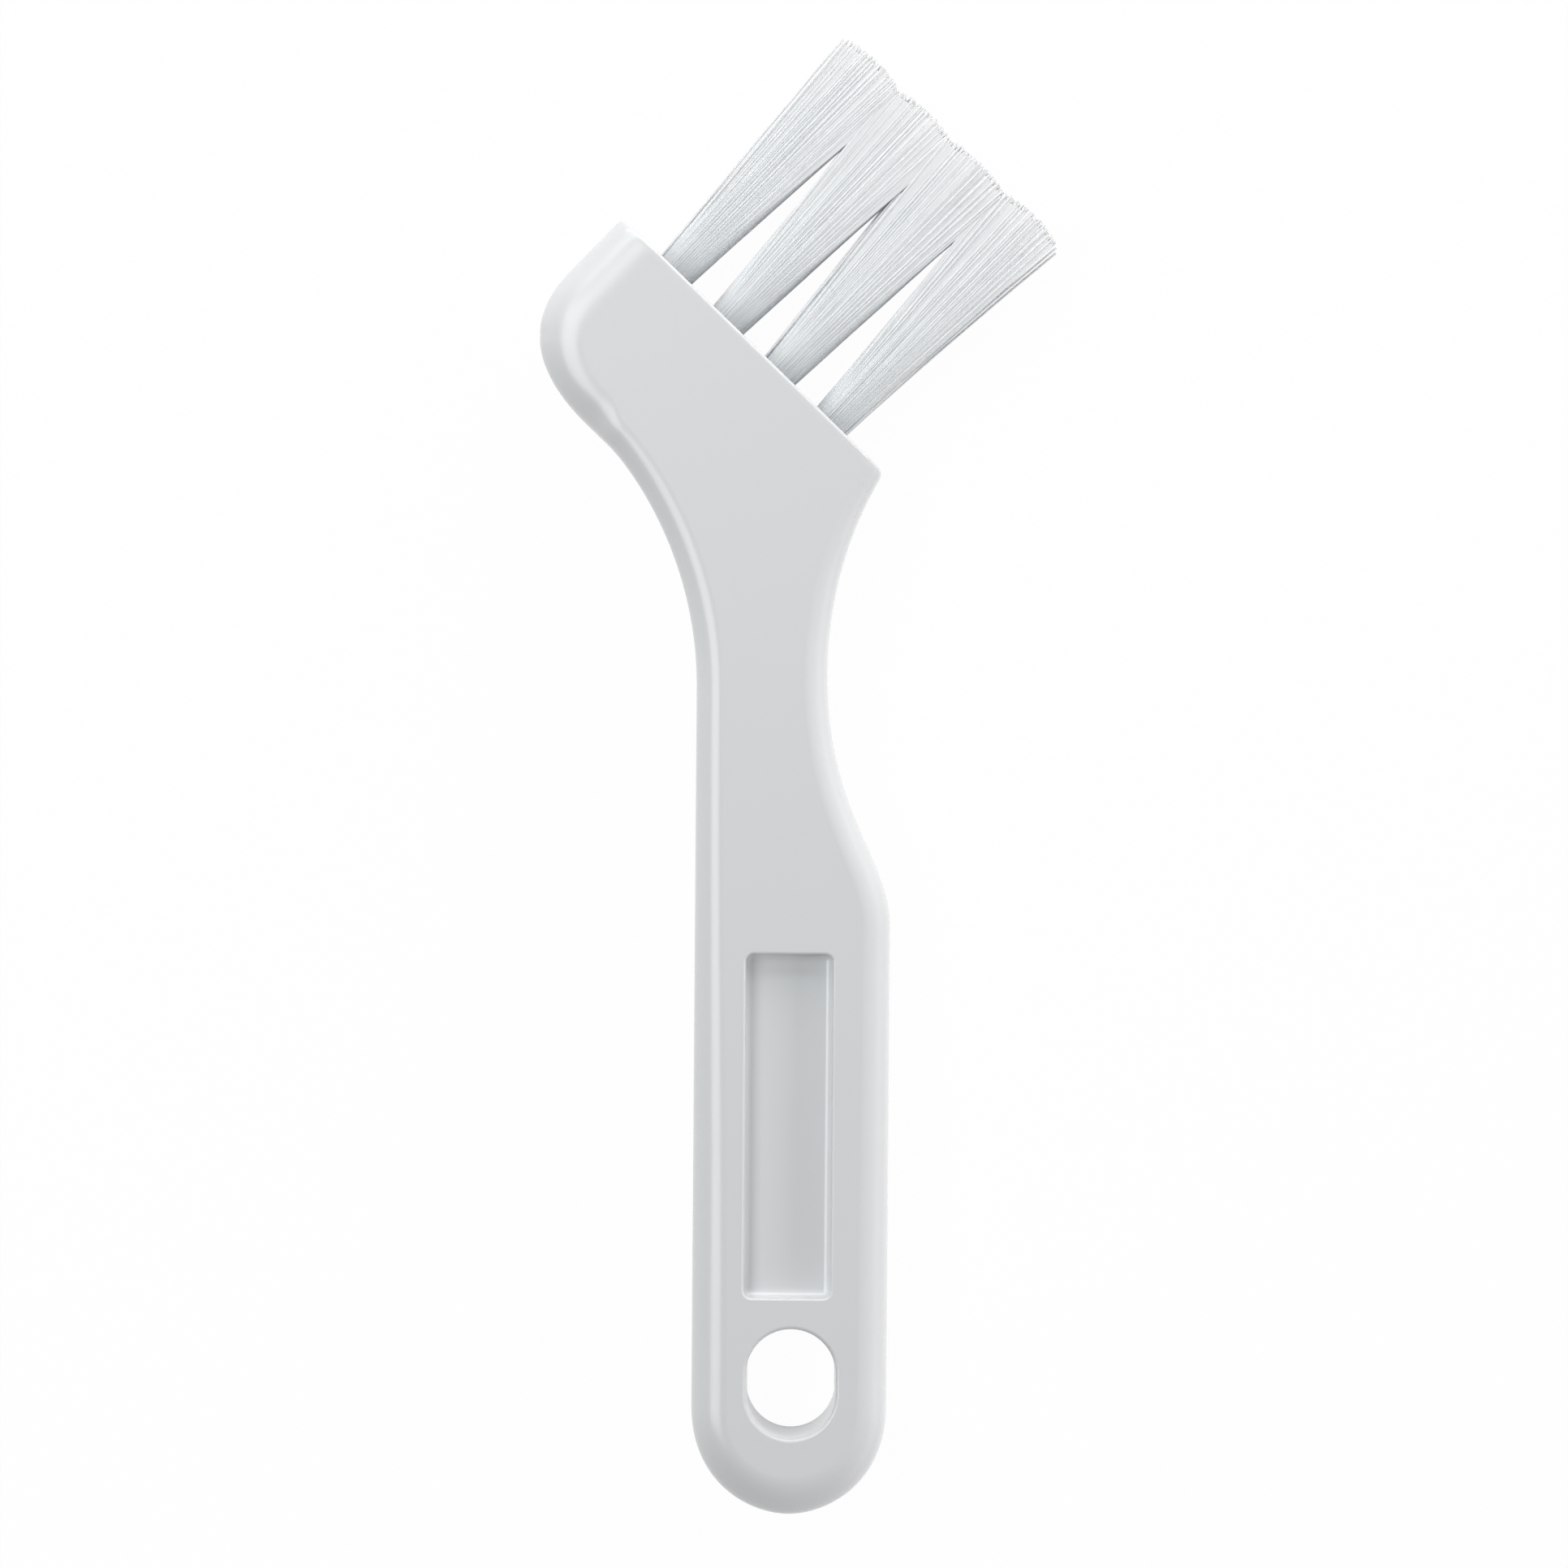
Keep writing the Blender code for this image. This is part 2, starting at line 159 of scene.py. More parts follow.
# Tufts: their place and length, and the shape of their cut tips
TUFT_PITCH = 4.05 * MM
TUFT_LENGTH = 16.05 * MM
BUNDLE_RADIUS = 1.1 * MM
BUNDLE_BOTTOM = -1.78 * MM
TIP_DEPTH = 1.3 * MM
TIP_SQUARENESS = 0.97
FRONT_OVERHANG = 0.25
TIP_DOME = 0.28 * MM
TIP_RAGGEDNESS = 0.16 * MM
TRIM_STEP = 0.02 * MM

# Strands and the core that they lie on
STRANDS_PER_TUFT = 1200
STRAND_RADIUS = 0.07 * MM
STRAND_ROUNDNESS = 1
STRAND_POINTS = 8
STRAND_WANDER = 0.03 * MM
STRAND_WAVE = 0.005 * MM
WAVE_TURN = 2.3
STRAND_SHARP_ANGLE = math.radians(60)
GOLDEN_ANGLE = math.pi * (3 - math.sqrt(5))
CORE_LENGTH = 15.85 * MM
CORE_SIDES = 48
CORE_RINGS = 10

# Strands that stand apart from their tuft: its number, the strand's place across it at the face,
# at half height and at the tip, and its height over the middle of the tuft at the face. At the tip
# they stand higher by the rise.
STRAY_RISE = 0.4 * MM
STRAYS = [
    (1, -1.04 * MM, -1.66 * MM, -2.2 * MM, 0.5 * MM),
    (1, -1.03 * MM, -1.55 * MM, -2.02 * MM, -0.3 * MM),
    (3, -1.07 * MM, -1.86 * MM, -2.6 * MM, 0.4 * MM),
    (3, -1.06 * MM, -1.74 * MM, -2.44 * MM, 0.7 * MM),
    (3, 1.02 * MM, 1.5 * MM, 2.35 * MM, 0.2 * MM),
    (3, 1.0 * MM, 1.4 * MM, 2.2 * MM, 0.6 * MM),
    (4, 1.05 * MM, 1.55 * MM, 2.28 * MM, 0.5 * MM),
    (4, 1.09 * MM, 1.67 * MM, 2.44 * MM, 0.1 * MM),
]

# Satin plastic: its two tones, the range of its roughness, and its fine grain
PLASTIC_TONES = ((0.688, 0.708, 0.722), (0.698, 0.718, 0.732))
PLASTIC_ROUGHNESS = (0.2, 0.26)
PLASTIC_IOR = 1.66
PLASTIC_CLOUD_SIZE = 9 * MM
PLASTIC_PATCH_SIZE = 1.5 * MM
GRAIN_SIZE = 0.09 * MM
GRAIN_DETAIL = 3.0
GRAIN_DEPTH = 0.01 * MM
GRAIN_STRENGTH = 0.3

# Nylon: its colour from the face, 0, to the tips, 1, with painted shade near the face and painted
# light at the tips, and the streaks that run along the strands
NYLON_TONES_WITH_PAINTED_SHADE_AND_LIGHT = [
    # painted shade: the darkest tones stand for shade where the strands come out of the handle
    (0.0, (0.50, 0.53, 0.55)),
    (0.12, (0.80, 0.825, 0.84)),
    (0.5, (0.835, 0.858, 0.875)),
    (0.88, (0.842, 0.865, 0.882)),
    # painted light: the lightest tone stands for light at the cut tips
    (1.0, (0.94, 0.95, 0.957)),
]
NYLON_ROUGHNESS = (0.5, 0.65)
NYLON_IOR = 1.53
STREAK_SIZE = 0.07 * MM
STREAK_STRETCH = 0.04
STREAK_CONTRAST = (0.3, 0.7)
STREAK_SHADES = ((0.92, 0.925, 0.93), (1.0, 1.0, 1.0))
STREAK_DEPTH = 0.002 * MM
STREAK_STRENGTH = 0.15

# Rolled brass
BRASS_TONES = ((0.80, 0.62, 0.34), (0.86, 0.70, 0.42))
BRASS_ROUGHNESS = (0.22, 0.38)
BRASS_CLOUD_SIZE = 0.5 * MM
ROLLING_MARK_SIZE = 0.06 * MM
ROLLING_MARK_DEPTH = 0.004 * MM
ROLLING_MARK_STRENGTH = 0.4

# Camera, looking straight down at the front
PICTURE_PIXELS = 1932
PIXELS_PER_MM = 22
PICTURE_SIDE = PICTURE_PIXELS / PIXELS_PER_MM * MM
PICTURE_CENTRE = Vector((-0.533 * MM, -0.485 * MM))
CAMERA_HEIGHT = 217.0 * MM
CAMERA_SENSOR = 36.0
CAMERA_TURN = math.radians(0.447)
CAMERA_CLIP = 10 * MM

# Floor, room and softboxes: name, azimuth, elevation, distance, width and height, watts, colour,
# and whether it shows in gloss. Azimuth 0 is beyond the tail, 90 to the right, 180 beyond the head.
FLOOR_SIDE = 6.0
FLOOR_GAP = 0.02 * MM
FLOOR_SHADOW = 0.03
FLOOR_COLOUR = (0.9, 0.9, 0.9, 1.0)
WHITE = (1.0, 1.0, 1.0, 1.0)
ROOM_LEVEL = 0.185
SOFTBOXES = [
    ("low_head_softbox", 180, 17, 0.24, (0.34, 0.06), 0.235, (1.0, 0.93, 0.9), True),
    ("high_head_softbox", 180, 34, 0.24, (0.34, 0.06), 0.196, (0.97, 1.0, 0.99), True),
    ("right_softbox", 90, 8.5, 0.45, (1.2, 0.24), 3.2, (1.0, 0.97, 0.96), False),
    ("left_softbox", 260, 54, 0.45, (0.44, 0.24), 1.0, (1.0, 1.0, 1.0), True),
]

thickness = handle_high.z
tail_y = handle_low.y
shoulder_y = tail_y + GRIP_LENGTH
waist_y = shoulder_y + SHOULDER_TO_WAIST
hang_hole_y = tail_y + HANG_HOLE_FROM_TAIL
panel_y = hang_hole_y + HANG_HOLE_LENGTH / 2 + PANEL_ABOVE_HOLE + PANEL_LENGTH / 2
outer_tuft = TUFT_PITCH * (TUFT_COUNT - 1) / 2
face_centre = Vector((-FACE_OFFSET, waist_y + WAIST_TO_FACE, thickness / 2))
face_frame = Matrix.Translation(face_centre) @ Matrix.Rotation(-FACE_SLANT, 4, "Z")
face_outward = face_frame.to_3x3() @ Vector((0, 1, 0))
axis_upright = Matrix.Rotation(-math.pi / 2, 4, "X")


def select_only(piece):
    bpy.ops.object.select_all(action="DESELECT")
    piece.select_set(True)
    bpy.context.view_layer.objects.active = piece


def start_editing(piece):
    select_only(piece)
    bpy.ops.object.mode_set(mode="EDIT")
    bpy.ops.mesh.select_all(action="SELECT")


def stop_editing():
    bpy.ops.object.mode_set(mode="OBJECT")


def select_where(piece, kind, wanted):
    """Selects, in edit mode, only the verts, edges or faces that are wanted."""
    bpy.ops.mesh.select_mode(type=kind)
    bpy.ops.mesh.select_all(action="DESELECT")
    bm = bmesh.from_edit_mesh(piece.data)
    for element in {"VERT": bm.verts, "EDGE": bm.edges, "FACE": bm.faces}[kind]:
        element.select_set(wanted(element))
    bmesh.update_edit_mesh(piece.data)


def carve(piece, cutter):
    """Cuts the cutter's shape out of the piece and throws the cutter away."""
    select_only(piece)
    boolean = piece.modifiers.new("carve", "BOOLEAN")
    boolean.object = cutter
    boolean.solver = "EXACT"
    bpy.ops.object.modifier_apply(modifier=boolean.name)
    bpy.data.objects.remove(cutter, do_unlink=True)


def ease(share):
    """A share from 0 to 1 that starts and ends gently."""
    return share * share * (3 - 2 * share)


def is_clockwise(ring):
    return sum(a.cross(b) for a, b in zip(ring, ring[1:] + ring[:1])) < 0


def head_point(along, out):
    return (face_frame @ Vector((along, out, 0.0))).to_2d()


def head_direction(along, out):
    return (face_frame.to_3x3() @ Vector((along, out, 0.0))).to_2d().normalized()


def outline_knots():
    """The outline anticlockwise: place, direction, hold before, hold after, width of the round."""
    half = GRIP_WIDTH / 2
    up, down, right = Vector((0, 1)), Vector((0, -1)), Vector((1, 0))
    inner_edge = head_direction(-math.sin(INNER_EDGE_LEAN), math.cos(INNER_EDGE_LEAN))
    into_head = head_direction(0, -1)
    along_face = head_direction(1, 0)
    outer_end = -FACE_LENGTH / 2
    inner_corner = head_point(-outer_end, 0)
    outer_corner = head_point(outer_end, 0)
    inner_flat = inner_corner - inner_edge * INNER_EDGE_FLAT
    end_flat = head_point(outer_end, -HEAD_END_FLAT)
    back_start = head_point(outer_end + HEAD_CORNER_LENGTH, -HEAD_DEPTH)
    back_end = head_point(outer_end + HEAD_CORNER_LENGTH + HEAD_BACK_FLAT, -HEAD_DEPTH)
    shoulder = Vector((half, shoulder_y))
    waist = Vector((NECK_WIDTH - half, waist_y))
    back_bend = Vector((-half, shoulder_y + SHOULDER_TO_BACK_BEND))
    tail_side_y = tail_y + TAIL_ROUND_LENGTH
    neck_span = (inner_flat - waist).length
    back_span = (back_end - back_bend).length
    corner_span = HEAD_DEPTH - HEAD_END_FLAT
    tip_hold = TAIL_TIP_HOLD * half
    side_hold = TAIL_SIDE_HOLD * TAIL_ROUND_LENGTH
    waist_low = WAIST_LOWER_HOLD * SHOULDER_TO_WAIST
    return [
        (Vector((0, tail_y)), right, tip_hold, tip_hold, TAIL_TIP_ROUND),
        (Vector((half, tail_side_y)), up, side_hold, 0, TAIL_RIGHT_ROUND),
        (shoulder, up, 0, SHOULDER_HOLD * SHOULDER_TO_WAIST, SHOULDER_ROUND),
        (waist, up, waist_low, WAIST_UPPER_HOLD * neck_span, WAIST_ROUND),
        (inner_flat, inner_edge, INNER_EDGE_HOLD * neck_span, 0, INNER_EDGE_ROUND),
        (inner_corner + inner_edge * PAST_THE_FACE, inner_edge, 0, 0, INNER_EDGE_ROUND),
        (outer_corner - into_head * PAST_THE_FACE, into_head, 0, 0, HEAD_END_ROUND),
        (end_flat, into_head, 0, HEAD_END_HOLD * corner_span, HEAD_END_ROUND),
        (back_start, along_face, HEAD_BACK_HOLD * HEAD_CORNER_LENGTH, 0, HEAD_CORNER_ROUND),
        (back_end, along_face, 0, NECK_BACK_HOLD * back_span, HEAD_BACK_ROUND),
        (back_bend, down, NECK_BEND_HOLD * back_span, 0, NECK_BEND_ROUND),
        (Vector((-half, tail_side_y)), down, 0, side_hold, TAIL_LEFT_ROUND),
    ]


def draw_outline(knots):
    """A Bezier circle with its points dragged to the knots, made one face with even edges."""
    bpy.ops.object.select_all(action="DESELECT")
    bpy.ops.curve.primitive_bezier_circle_add(radius=GRIP_WIDTH / 2)
    outline = bpy.context.object
    bpy.ops.object.mode_set(mode="EDIT")
    # The circle's four points become twelve, one for each knot
    bpy.ops.curve.subdivide(number_cuts=2)
    bpy.ops.object.mode_set(mode="OBJECT")
    points = outline.data.splines[0].bezier_points
    for point, (place, direction, before, after, _) in zip(points, knots):
        point.handle_left_type = "FREE" if before else "VECTOR"
        point.handle_right_type = "FREE" if after else "VECTOR"
        point.co = place.to_3d()
        point.handle_left = (place - direction * before).to_3d()
        point.handle_right = (place + direction * after).to_3d()
    outline.data.resolution_u = OUTLINE_STEPS
    bpy.ops.object.convert(target="MESH")
    outline.name = "moulded_handle"
    start_editing(outline)
    while halve_long_edges(outline):
        pass
    bpy.ops.mesh.select_all(action="SELECT")
    bpy.ops.mesh.edge_face_add()
    stop_editing()
    return outline


def halve_long_edges(outline):
    """Cuts each edge over the limit in two, and says whether there was one."""
    select_where(outline, "EDGE", lambda edge: edge.calc_length() > LONGEST_EDGE)
    found = outline.data.total_edge_sel > 0
    if found:
        bpy.ops.mesh.subdivide(number_cuts=1)
    return found


def widths_along(ring, knots):
    """The round's width at each point of the ring, eased from knot to knot along the outline."""
    at_knots = [
        min(range(len(ring)), key=lambda index: (ring[index] - knot[0]).length) for knot in knots
    ]
    widths = [0.0] * len(ring)
    for turn, start in enumerate(at_knots):
        following = (turn + 1) % len(knots)
        steps = (at_knots[following] - start) % len(ring)
        stretch = [(start + step) % len(ring) for step in range(steps + 1)]
        lengths = [(ring[b] - ring[a]).length for a, b in zip(stretch, stretch[1:])]
        travelled = 0.0
        for index, length in zip(stretch, lengths):
            share = ease(travelled / sum(lengths))
            widths[index] = knots[turn][-1] * (1 - share) + knots[following][-1] * share
            travelled += length
    return widths


def inward_normals(ring):
    """At each corner of an anticlockwise ring, the way in that keeps both its edges parallel."""
    normals = []
    for index, place in enumerate(ring):
        ahead = (ring[(index + 1) % len(ring)] - place).normalized()
        behind = (place - ring[index - 1]).normalized()
        tangent = (ahead + behind).normalized()
        normals.append(Vector((-tangent.y, tangent.x)) / tangent.dot(ahead))
    return normals


def rounded_rings(ring, inward, widths, surface, side):
    """Rings of places from beside the parting line, over the round, to the broad face."""
    lip = thickness / 2 + side * PARTING_LINE_WIDTH / 2
    rings = [[Vector((*place, lip)) for place in ring]]
    for step in range(ROUND_STEPS + 1):
        angle = math.pi / 2 * step / ROUND_STEPS
        places = []
        for place, normal, width in zip(ring, inward, widths):
            spot = place + normal * width * (1 - math.cos(angle))
            depth = min(width, DEEPEST_ROUND) * (1 - math.sin(angle))
            places.append(Vector((*spot, surface - side * depth)))
        rings.append(places)
    return rings


def pull_out_ring(piece, old_places, new_places):
    """Extrudes the selected cap where it stands and moves each of its corners to its new place."""
    bpy.ops.mesh.extrude_region_move()
    finder = KDTree(len(old_places))
    for index, place in enumerate(old_places):
        finder.insert(place, index)
    finder.balance()
    bm = bmesh.from_edit_mesh(piece.data)
    for corner in {vert for face in bm.faces if face.select for vert in face.verts}:
        corner.co = new_places[finder.find(corner.co)[1]]
    bmesh.update_edit_mesh(piece.data)


def pull_out_body(handle, knots):
    """Pulls the outline out from the parting line's groove to the front and to the back."""
    order = list(handle.data.polygons[0].vertices)
    ring = [handle.data.vertices[index].co.to_2d() for index in order]
    # The head's end keeps inside the CAD handle's box
    for place in ring:
        place.x = max(place.x, handle_low.x)
    if is_clockwise(ring):
        order.reverse()
        ring.reverse()
    inward = inward_normals(ring)
    groove = [
        Vector((*(place + normal * PARTING_LINE_DEPTH), thickness / 2))
        for place, normal in zip(ring, inward)
    ]
    for index, place in zip(order, groove):
        handle.data.vertices[index].co = place
    front = rounded_rings(ring, inward, widths_along(ring, knots), thickness, 1)
    back = rounded_rings(ring, inward, [BACK_ROUND] * len(ring), 0.0, -1)
    start_editing(handle)
    for old_places, new_places in zip([groove] + front, front):
        pull_out_ring(handle, old_places, new_places)
    at_groove = thickness / 2
    select_where(
        handle, "FACE", lambda face: abs(face.calc_center_median().z - at_groove) < ON_A_PLANE
    )
    for old_places, new_places in zip([groove] + back, back):
        pull_out_ring(handle, old_places, new_places)
    bpy.ops.mesh.select_all(action="SELECT")
    bpy.ops.mesh.normals_make_consistent(inside=False)
    stop_editing()


def cut_bristle_face(handle):
    """Cuts the head square across below the face and pulls the cut out to it over a rounded edge."""
    start_editing(handle)
    cut_at = face_centre - face_outward * FACE_ROUND_DEPTH
    bpy.ops.mesh.bisect(
        plane_co=cut_at,
        plane_no=face_outward,
        use_fill=True,
        clear_outer=True,
        threshold=CUT_TOLERANCE,
    )
    select_where(
        handle,
        "FACE",
        lambda face: abs((face.calc_center_median() - cut_at).dot(face_outward)) < ON_A_PLANE,
    )
    to_face = face_frame.inverted()
    bm = bmesh.from_edit_mesh(handle.data)
    cut = next(face for face in bm.faces if face.select)
    corners = [to_face @ vert.co for vert in cut.verts]
    if is_clockwise([corner.xz for corner in corners]):
        corners.reverse()
    inward = inward_normals([corner.xz for corner in corners])
    places = [face_frame @ corner for corner in corners]
    for step in range(RIM_STEPS + 1):
        angle = math.pi / 2 * step / RIM_STEPS
        raised = [
            face_frame @ rounded_corner(corner, normal, angle)
            for corner, normal in zip(corners, inward)
        ]
        pull_out_ring(handle, places, raised)
        places = raised
    stop_editing()


def rounded_corner(corner, inward, angle):
    """Where a corner of the cut comes to at an angle of the edge's round, in the face's frame."""
    inner = corner.x > 0
    end_round = INNER_CORNER_ROUND if inner else OUTER_CORNER_ROUND
    share = ease(1 - abs(corner.z) / (thickness / 2))
    width = FACE_RIM_ROUND + (end_round - FACE_RIM_ROUND) * share
    out = -width * (1 - math.sin(angle))
    lean = math.tan(INNER_EDGE_LEAN) * (out + FACE_ROUND_DEPTH) if inner else 0.0
    shift = inward * width * (1 - math.cos(angle))
    return Vector((corner.x - lean + shift.x, out, corner.z + shift.y))


def hang_hole_cutter():
    """A cylinder with its halves moved apart along the grip, and a waist at the parting line.

    Each half has an odd number of sides, so no corner lies on the line between the halves.
    """
    centre = Vector((HANG_HOLE_OFFSET, hang_hole_y, thickness / 2))
    bpy.ops.mesh.primitive_cylinder_add(
        vertices=HANG_HOLE_SIDES,
        radius=HANG_HOLE_WIDTH / 2,
        depth=thickness + 2 * CUT_OVERRUN,
        location=centre,
    )
    cutter = bpy.context.object
    start_editing(cutter)
    for side in (-1, 1):
        select_where(cutter, "VERT", lambda vert: vert.co.y * side > 0)
        shift = side * (HANG_HOLE_LENGTH - HANG_HOLE_WIDTH) / 2
        bpy.ops.transform.translate(value=(0, shift, 0))
    bpy.ops.mesh.select_all(action="SELECT")
    bpy.ops.mesh.bisect(plane_co=centre, plane_no=(0, 0, 1), threshold=CUT_TOLERANCE)
    bpy.ops.transform.resize(value=(HANG_HOLE_WAIST, HANG_HOLE_WAIST, 1), center_override=centre)
    stop_editing()
    return cutter


def panel_cutter():
    """The sunk panel's space: walls with draft, rounded upright corners and a rounded floor."""
    height = PANEL_DEPTH + CUT_OVERRUN
    bpy.ops.mesh.primitive_cube_add(
        size=1,
        location=(PANEL_OFFSET, panel_y, thickness - PANEL_DEPTH + height / 2),
        scale=(PANEL_WIDTH, PANEL_LENGTH, height),
    )
    cutter = bpy.context.object
    bpy.ops.object.transform_apply(location=False, rotation=False, scale=True)
    for vert in cutter.data.vertices:
        below_mouth = PANEL_DEPTH if vert.co.z < 0 else -CUT_OVERRUN
        draft = PANEL_DRAFT * below_mouth / PANEL_DEPTH
        vert.co.x -= math.copysign(draft, vert.co.x)
        vert.co.y -= math.copysign(draft, vert.co.y)
    start_editing(cutter)
    select_where(cutter, "EDGE", lambda edge: min(vert.co.z for vert in edge.verts) < 0)
    bpy.ops.mesh.bevel(offset=PANEL_CORNER, segments=CORNER_STEPS, affect="EDGES")
    stop_editing()
    return cutter


def round_rim(handle, middle, reach, width):
    """Rounds the edges of a cut in the broad faces, within a box about the cut's middle."""

    def on_rim(edge):
        if len(edge.link_faces) != 2:
            return False
        steep, level = sorted(abs(face.normal.z) for face in edge.link_faces)
        spot = sum((vert.co for vert in edge.verts), Vector()) / 2
        near = all(abs(spot[axis] - middle[axis]) < reach[axis] for axis in (0, 1))
        return near and level > BROAD_FACE_LEVEL and steep < STEEP_WALL_LEVEL

    start_editing(handle)
    select_where(handle, "EDGE", on_rim)
    bpy.ops.mesh.bevel(offset=width, segments=RIM_STEPS, affect="EDGES")
    stop_editing()


def tuft_frame(index):
    """U along the bristle face, V up the tuft's axis, from where that axis leaves the face."""
    along = index * TUFT_PITCH - outer_tuft
    return face_frame @ Matrix.Translation((along, 0, 0))


def tuft_hole_cutter(index):
    bpy.ops.mesh.primitive_cylinder_add(
        vertices=TUFT_HOLE_SIDES, radius=TUFT_HOLE_RADIUS, depth=TUFT_HOLE_DEPTH + CUT_OVERRUN
    )
    cutter = bpy.context.object
    middle = (CUT_OVERRUN - TUFT_HOLE_DEPTH) / 2
    cutter.matrix_world = tuft_frame(index) @ Matrix.Translation((0, middle, 0)) @ axis_upright
    return cutter


def anchor_pocket_cutter(index):
    """The anchor itself, a little larger all round."""
    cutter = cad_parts[f"tuft_anchor_{index + 1}"].copy()
    cutter.data = cutter.data.copy()
    cutter.parent = None
    bpy.context.scene.collection.objects.link(cutter)
    start_editing(cutter)
    bpy.ops.mesh.remove_doubles(threshold=ON_A_PLANE)
    bpy.ops.transform.shrink_fatten(value=ANCHOR_CLEARANCE)
    stop_editing()
    return cutter


def smooth_shading(piece, sharp_angle):
    """Smooth shading with flat faces kept flat up to their edges."""
    select_only(piece)
    bpy.ops.object.shade_smooth_by_angle(angle=sharp_angle)
    weighted = piece.modifiers.new("even_normals", "WEIGHTED_NORMAL")
    weighted.keep_sharp = True
    bpy.ops.object.modifier_apply(modifier=weighted.name)


def make_handle():
    knots = outline_knots()
    handle = draw_outline(knots)
    pull_out_body(handle, knots)
    cut_bristle_face(handle)
    carve(handle, hang_hole_cutter())
    carve(handle, panel_cutter())
    hole_middle = (HANG_HOLE_OFFSET, hang_hole_y)
    hole_reach = (HANG_HOLE_WIDTH / 2 + RIM_SEARCH, HANG_HOLE_LENGTH / 2 + RIM_SEARCH)
    round_rim(handle, hole_middle, hole_reach, HANG_HOLE_RIM)
    panel_middle = (PANEL_OFFSET, panel_y)
    panel_reach = (PANEL_WIDTH / 2 + RIM_SEARCH, PANEL_LENGTH / 2 + RIM_SEARCH)
    round_rim(handle, panel_middle, panel_reach, PANEL_RIM)
    for index in range(TUFT_COUNT):
        carve(handle, tuft_hole_cutter(index))
        carve(handle, anchor_pocket_cutter(index))
    smooth_shading(handle, HANDLE_SHARP_ANGLE)
    handle.data.materials.clear()
    handle.data.materials.append(satin_plastic())
    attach(handle, "root")
    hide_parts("handle")


def tip_place(across, deep, reaches):
    """Where a place in the round bundle comes to at the tips, squarer there and widest in front."""
    rounder = math.hypot(across, deep) / max(abs(across), abs(deep))
    stretch = 1 + TIP_SQUARENESS * (rounder - 1)
    reach = reaches[1] if across > 0 else reaches[0]
    reach *= 1 - FRONT_OVERHANG * (1 - deep * stretch) / 2
    return Vector((across * reach, deep * TIP_DEPTH)) * stretch


def fanned_strand(order, rng, reaches):
    """One strand of a fan: where it is across and deep at the face and at its tip, and its length."""
    packed = math.sqrt((order + 0.5) / STRANDS_PER_TUFT)
    turn = order * GOLDEN_ANGLE
    across, deep = packed * math.cos(turn), packed * math.sin(turn)
    root = Vector((across, deep)) * BUNDLE_RADIUS
    tip = tip_place(across, deep, reaches)
    tip += Vector((rng.gauss(0, STRAND_WANDER), rng.gauss(0, STRAND_WANDER)))
    tip.y = max(-TIP_DEPTH, min(TIP_DEPTH, tip.y))
    length = TUFT_LENGTH - TIP_DOME * (2 * tip.x / TUFT_PITCH) ** 2
    return root, tip, length + rng.uniform(-1, 1) * TIP_RAGGEDNESS


def trimmed_length(frame_of_tuft, tip, length):
    """The strand's length, cut back until its tip is inside the brush's box."""
    while True:
        end = frame_of_tuft @ Vector((tip.x, length, tip.y))
        spare = [min(end[axis] - cad_box[0][axis], cad_box[1][axis] - end[axis]) for axis in (0, 1)]
        if min(spare) > STRAND_RADIUS:
            return length
        length -= TRIM_STEP


def add_strand(curve, rng, root, tip, length, bend=0.0):
    """Draws a strand from inside the tuft hole to its cut tip, bowed by the bend at half height."""
    spline = curve.splines.new("POLY")
    spline.points.add(STRAND_POINTS)
    spline.points[0].co = (root.x, BUNDLE_BOTTOM, root.y, 1.0)
    phase = rng.uniform(0, 2 * math.pi)
    for step in range(STRAND_POINTS):
        share = step / (STRAND_POINTS - 1)
        spot = root.lerp(tip, share)
        wave = STRAND_WAVE * math.sin(phase + step * WAVE_TURN) + bend * 4 * share * (1 - share)
        spline.points[step + 1].co = (spot.x + wave, length * share, spot.y, 1.0)


def make_core(reaches):
    """The mass of strands inside a tuft as one body, just below its outermost strands."""
    bpy.ops.object.select_all(action="DESELECT")
    bpy.ops.mesh.primitive_circle_add(vertices=CORE_SIDES, radius=1, fill_type="NGON")
    core = bpy.context.object
    heights = [BUNDLE_BOTTOM] + [CORE_LENGTH * step / CORE_RINGS for step in range(CORE_RINGS + 1)]
    rings = []
    for height in heights:
        share = max(height, 0) / CORE_LENGTH
        ring = []
        for corner in core.data.vertices:
            root = corner.co.to_2d() * BUNDLE_RADIUS
            spot = root.lerp(tip_place(*corner.co.to_2d(), reaches), share)
            dome = share * TIP_DOME * (2 * spot.x / TUFT_PITCH) ** 2
            ring.append(Vector((spot.x, height - dome, spot.y)))
        rings.append(ring)
    for corner, place in zip(core.data.vertices, rings[0]):
        corner.co = place
    start_editing(core)
    for old_places, new_places in zip(rings, rings[1:]):
        pull_out_ring(core, old_places, new_places)
    bpy.ops.mesh.select_all(action="SELECT")
    bpy.ops.mesh.normals_make_consistent(inside=False)
    stop_editing()
    return core


def draw_strands(index):
    """All strands of one tuft as one curve with a round section, in the tuft's own frame."""
    rng = random.Random(index + 1)
    curve = bpy.data.curves.new(f"nylon_tuft_{index + 1}", "CURVE")
    curve.dimensions = "3D"
    curve.bevel_depth = STRAND_RADIUS
    curve.bevel_resolution = STRAND_ROUNDNESS
    curve.use_fill_caps = True
    place = tuft_frame(index)
    for order in range(STRANDS_PER_TUFT):
        root, tip, length = fanned_strand(order, rng, TUFT_REACHES[index])
        add_strand(curve, rng, root, tip, trimmed_length(place, tip, length))
    for number, at_face, at_half, at_tip, deep in STRAYS:
        if number == index + 1:
            root, tip = Vector((at_face, deep)), Vector((at_tip, deep + STRAY_RISE))
            bend = at_half - root.lerp(tip, 0.5).x
            length = trimmed_length(place, tip, TUFT_LENGTH - TIP_DOME)
            add_strand(curve, rng, root, tip, length, bend)
    return curve


